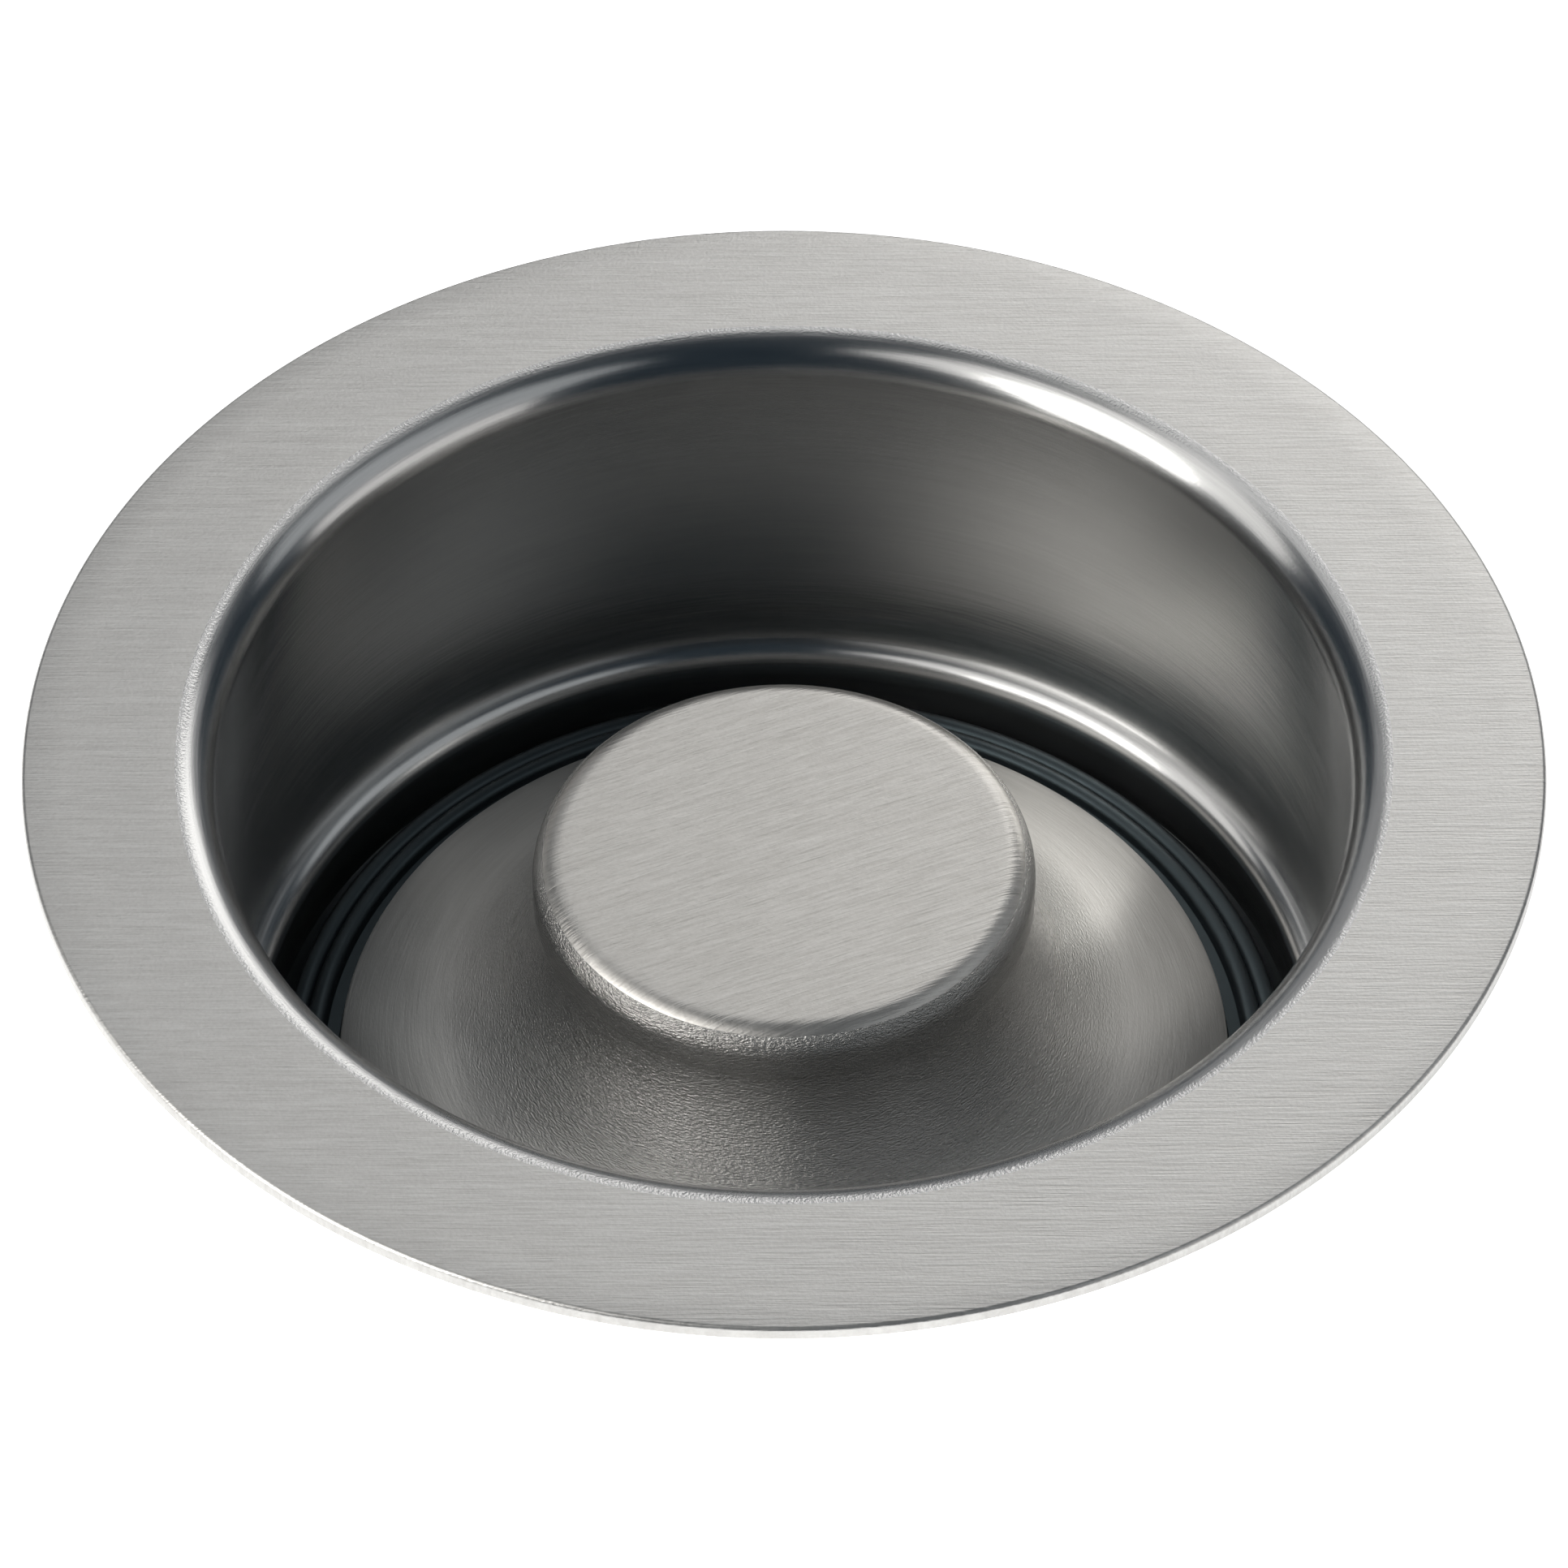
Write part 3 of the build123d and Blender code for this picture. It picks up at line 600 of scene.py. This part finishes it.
crest = [(radius, -rise) for radius, rise in flank] + [(screw_radius, 0.0)] + flank[::-1]
crest.append(crest[0])
at = Vector((crest[0][0], 0, thread_low + crest[0][1])) * MM
bpy.ops.transform.translate(value=at)
for radius, rise in crest[1:]:
    to = Vector((radius, 0, thread_low + rise)) * MM
    bpy.ops.mesh.extrude_region_move(TRANSFORM_OT_translate={"value": to - at})
    at = to
bpy.ops.mesh.select_all(action="SELECT")
bpy.ops.mesh.remove_doubles(threshold=1e-7)
bpy.ops.object.mode_set(mode="OBJECT")
helix = thread.modifiers.new("helix", "SCREW")
helix.angle, helix.screw_offset, helix.iterations = 2 * math.pi, thread_pitch * MM, thread_turns
helix.steps = helix.render_steps = 24
bpy.ops.object.modifier_apply(modifier="helix")
bpy.ops.object.mode_set(mode="EDIT")
bpy.ops.mesh.select_all(action="DESELECT")
bpy.ops.mesh.select_non_manifold()
bpy.ops.mesh.edge_face_add()
bpy.ops.mesh.select_all(action="SELECT")
bpy.ops.mesh.normals_make_consistent(inside=False)
bpy.ops.object.mode_set(mode="OBJECT")
thread.select_set(False)
shank.select_set(True)
bpy.context.view_layer.objects.active = shank
bpy.ops.object.mode_set(mode="EDIT")
bpy.ops.mesh.select_all(action="SELECT")
bpy.ops.mesh.remove_doubles(threshold=1e-6)
bpy.ops.mesh.normals_make_consistent(inside=False)
bpy.ops.object.mode_set(mode="OBJECT")
joining = shank.modifiers.new("thread", "BOOLEAN")
joining.operation, joining.solver, joining.object = "UNION", "EXACT", thread
bpy.ops.object.modifier_apply(modifier="thread")
bpy.data.objects.remove(thread)
cut_away(shank, [slot_cutter(8, 1.2, screw_bottom - 1, screw_bottom + 2.2)])

screw_zinc = Finish("screw_zinc_plate", Metallic=1.0)
spot = screw_zinc.place()
patch = screw_zinc.streaks(spot, (160, 160, 70), 4.0)
rolled = screw_zinc.streaks(spot, (500, 500, 3200), 3.0, (2, 2, 5))
grease = screw_zinc.mask(screw_zinc.streaks(spot, (260, 260, 120), 3.0, (9, 1, 4)), 0.55, 0.70)
plated = screw_zinc.tint(patch, (0.36, 0.31, 0.20, 1), (0.62, 0.56, 0.42, 1))
screw_zinc.feed("Base Color", screw_zinc.tint(grease * 0.45, plated, (0.20, 0.18, 0.14, 1)))
screw_zinc.feed("Roughness", 0.25 + rolled * 0.14 + grease * 0.16)
screw_zinc.bump(rolled, 0.3, 0.00004)
for number, angle in enumerate(screw_angles, start=1):
    screw = shank.copy()
    screw.data = shank.data.copy()
    screw.name = f"screw_{number}_threaded"
    bpy.context.scene.collection.objects.link(screw)
    bpy.ops.object.select_all(action="DESELECT")
    screw.select_set(True)
    bpy.context.view_layer.objects.active = screw
    bpy.ops.object.mode_set(mode="EDIT")
    bpy.ops.mesh.select_all(action="SELECT")
    bpy.ops.transform.translate(value=(screw_circle * MM, 0, 0))
    bpy.ops.transform.rotate(value=-math.radians(angle), orient_axis="Z", center_override=(0, 0, 0))
    bpy.ops.object.mode_set(mode="OBJECT")
    finish_mesh(screw, 40)
    screw.data.materials.append(screw_zinc.material)
    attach(screw, f"screw_{number}")
    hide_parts(f"mounting_screw_{number}")
bpy.data.objects.remove(shank)


# ---------------------------------------------------------------------------
# Snap ring: round spring-steel wire, bent to a ring with a gap and sprung into the groove rolled
# in the outlet tube. The upper ring rests on it.
# ---------------------------------------------------------------------------
wire_radius, wire_gap, wire_circle = 1.3, 16, 39.317
wire_section = bend((wire_circle, groove_z), wire_radius, 0, 360, 20)
snap = turned("snap_wire", wire_section, 160, 360 - wire_gap)
finish_mesh(snap, 50)

spring_steel = Finish("spring_steel_wire", Metallic=1.0)
spot = spring_steel.place()
lathe, _ = spring_steel.lathe_place(spot, 4.0)
drawn = spring_steel.streaks(lathe, (1, 1, 7000), 3.0)
blue = spring_steel.streaks(spot, (80, 80, 80), 4.0, (6, 2, 2))
spring_steel.feed("Base Color", spring_steel.tint(blue, (0.16, 0.17, 0.20, 1), (0.38, 0.37, 0.36, 1)))
spring_steel.feed("Roughness", 0.26 + drawn * 0.16 + blue * 0.08)
spring_steel.bump(drawn, 0.3, 0.00004)
snap.data.materials.append(spring_steel.material)
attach(snap, "flange")
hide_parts("snap_ring")


# ---------------------------------------------------------------------------
# Mounting gasket: a moulded black rubber collar pushed over the tube's end, with the splash baffle
# as one piece across its mouth, slit into flaps.
# ---------------------------------------------------------------------------
baffle = softened("mounting_gasket", "baffle_moulding", 0.3)
baffle_rubber = Finish("baffle_black_rubber", Specular_IOR_Level=0.4)
spot = baffle_rubber.place()
lathe, _ = baffle_rubber.lathe_place(spot, 12.0)
bloom = baffle_rubber.streaks(spot, (70, 70, 70), 5.0)
pores = baffle_rubber.streaks(spot, (1800, 1800, 1800), 2.0, (2, 7, 3))
parted = baffle_rubber.streaks(lathe, (1, 1, 1800), 2.0)
bloomed = baffle_rubber.tint(bloom, (0.011, 0.012, 0.013, 1), (0.032, 0.033, 0.034, 1))
baffle_rubber.feed("Base Color", bloomed)
baffle_rubber.feed("Roughness", 0.48 + bloom * 0.22)
baffle_rubber.bump(pores * 0.6 + parted * 0.4, 0.35, 0.0001)
baffle.data.materials.append(baffle_rubber.material)
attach(baffle, "flange")
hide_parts("mounting_gasket")


# ---------------------------------------------------------------------------
# Lower mounting ring: a zinc-plated pressed ring with an inward lip, three hooks that slide up the
# ramps as it is turned, and three round sockets for the turning tool.
# ---------------------------------------------------------------------------
lower_ring = softened("lower_mount_ring", "lower_ring_plate", 0.4)
lower_zinc = zinc_plate("lower_ring_zinc_plate", (0.29, 0.30, 0.32, 1), (0.55, 0.56, 0.57, 1), 0.24, 1.0)
lower_ring.data.materials.append(lower_zinc.material)
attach(lower_ring, "lower_ring")
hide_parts("lower_mount_ring")


# ---------------------------------------------------------------------------
# Sink bottom and floor: the flange shows in a plain pale round of sink sheet, over a plain floor.
# ---------------------------------------------------------------------------
deck_hole, deck_radius, deck_top, deck_under = 44.5, 112, -0.02, -2.2
deck_section = [
    (deck_hole, deck_under), (deck_hole, deck_top - 0.03),
    (60, deck_top), (90, deck_top), (deck_radius - 0.5, deck_top),
    *bend((deck_radius, deck_under / 2), 1.05, 90, -90, 8), (60, deck_under),
]
deck = turned("stage_deck", deck_section + deck_section[:1], 128)
finish_mesh(deck)
bpy.ops.mesh.primitive_plane_add(size=8, location=(0, 0, -0.18))
floor = bpy.context.object
floor.name = "stage_floor"
plain = Finish("stage_plain", Roughness=0.9, Base_Color=(0.9, 0.9, 0.9, 1), Specular_IOR_Level=0.0)
plain.shader.inputs["Emission Color"].default_value = (1, 1, 1, 1)
plain.shader.inputs["Emission Strength"].default_value = 0.85
deck.data.materials.append(plain.material)
floor.data.materials.append(plain.material)


# ---------------------------------------------------------------------------
# Lights and camera
# ---------------------------------------------------------------------------
def softbox(name, azimuth, elevation, distance, size, radiance, colour=(1, 1, 1)):
    """A large soft light that faces the cup. Azimuth 0 is behind it and 90 to its right, in degrees."""
    data = bpy.data.lights.new(name, "AREA")
    data.shape = "RECTANGLE"
    data.size, data.size_y = size
    data.energy = radiance * math.pi * size[0] * size[1]
    data.color = colour
    lamp = bpy.data.objects.new(name, data)
    bpy.context.scene.collection.objects.link(lamp)
    round_z, up = math.radians(azimuth), math.radians(elevation)
    flat = math.cos(up)
    at = Vector((math.sin(round_z) * flat, math.cos(round_z) * flat, math.sin(up))) * distance
    lamp.matrix_world = Matrix.Translation(at) @ (-at).to_track_quat("-Z", "Y").to_matrix().to_4x4()
    lamp.visible_camera = False
    return lamp


softbox("window_left", -118, 28, 1.5, (0.85, 1.15), 3.9, (1.0, 0.985, 0.95))
softbox("window_haze", -108, 42, 1.6, (1.9, 1.8), 1.15, (1.0, 0.98, 0.95))
softbox("back_high", -6, 57, 1.6, (1.3, 0.7), 0.85, (1.0, 0.99, 0.975))
softbox("back_low", 15, 32, 1.5, (0.7, 0.55), 1.7, (1.0, 0.985, 0.96))
softbox("back_wide", 4, 30, 1.5, (2.1, 0.8), 0.32, (1.0, 0.98, 0.97))
softbox("right_low", 110, 13, 1.5, (1.3, 0.6), 1.0, (1.0, 0.97, 0.94))
softbox("right_high", 102, 46, 1.5, (1.7, 0.9), 0.48, (0.97, 0.99, 1.0))
world = bpy.data.worlds.new("studio")
bpy.context.scene.world = world
world.use_nodes = True
sky = world.node_tree.nodes["Background"]
ray = world.node_tree.nodes.new("ShaderNodeLightPath")
seen = world.node_tree.nodes.new("ShaderNodeMix")
seen.data_type = "RGBA"
seen.inputs[6].default_value = (0.020, 0.031, 0.042, 1)
seen.inputs[7].default_value = (1, 1, 1, 1)
world.node_tree.links.new(ray.outputs["Is Camera Ray"], seen.inputs[0])
world.node_tree.links.new(seen.outputs[2], sky.inputs["Color"])
sky.inputs["Strength"].default_value = 1.0

look_down, distance, aim_lower = 46.01, 0.5579, 0.337
pitch = math.radians(look_down)
camera = bpy.data.objects.new("camera", bpy.data.cameras.new("camera"))
bpy.context.scene.collection.objects.link(camera)
camera.data.lens = 170.6
camera.data.clip_start, camera.data.clip_end = 0.05, 20
camera.location = (0, -distance * math.cos(pitch), distance * math.sin(pitch) + rim_top * MM)
camera.rotation_euler = (math.radians(90 - look_down - aim_lower), 0, 0)
bpy.context.scene.camera = camera
bpy.context.scene.view_settings.view_transform = "Standard"
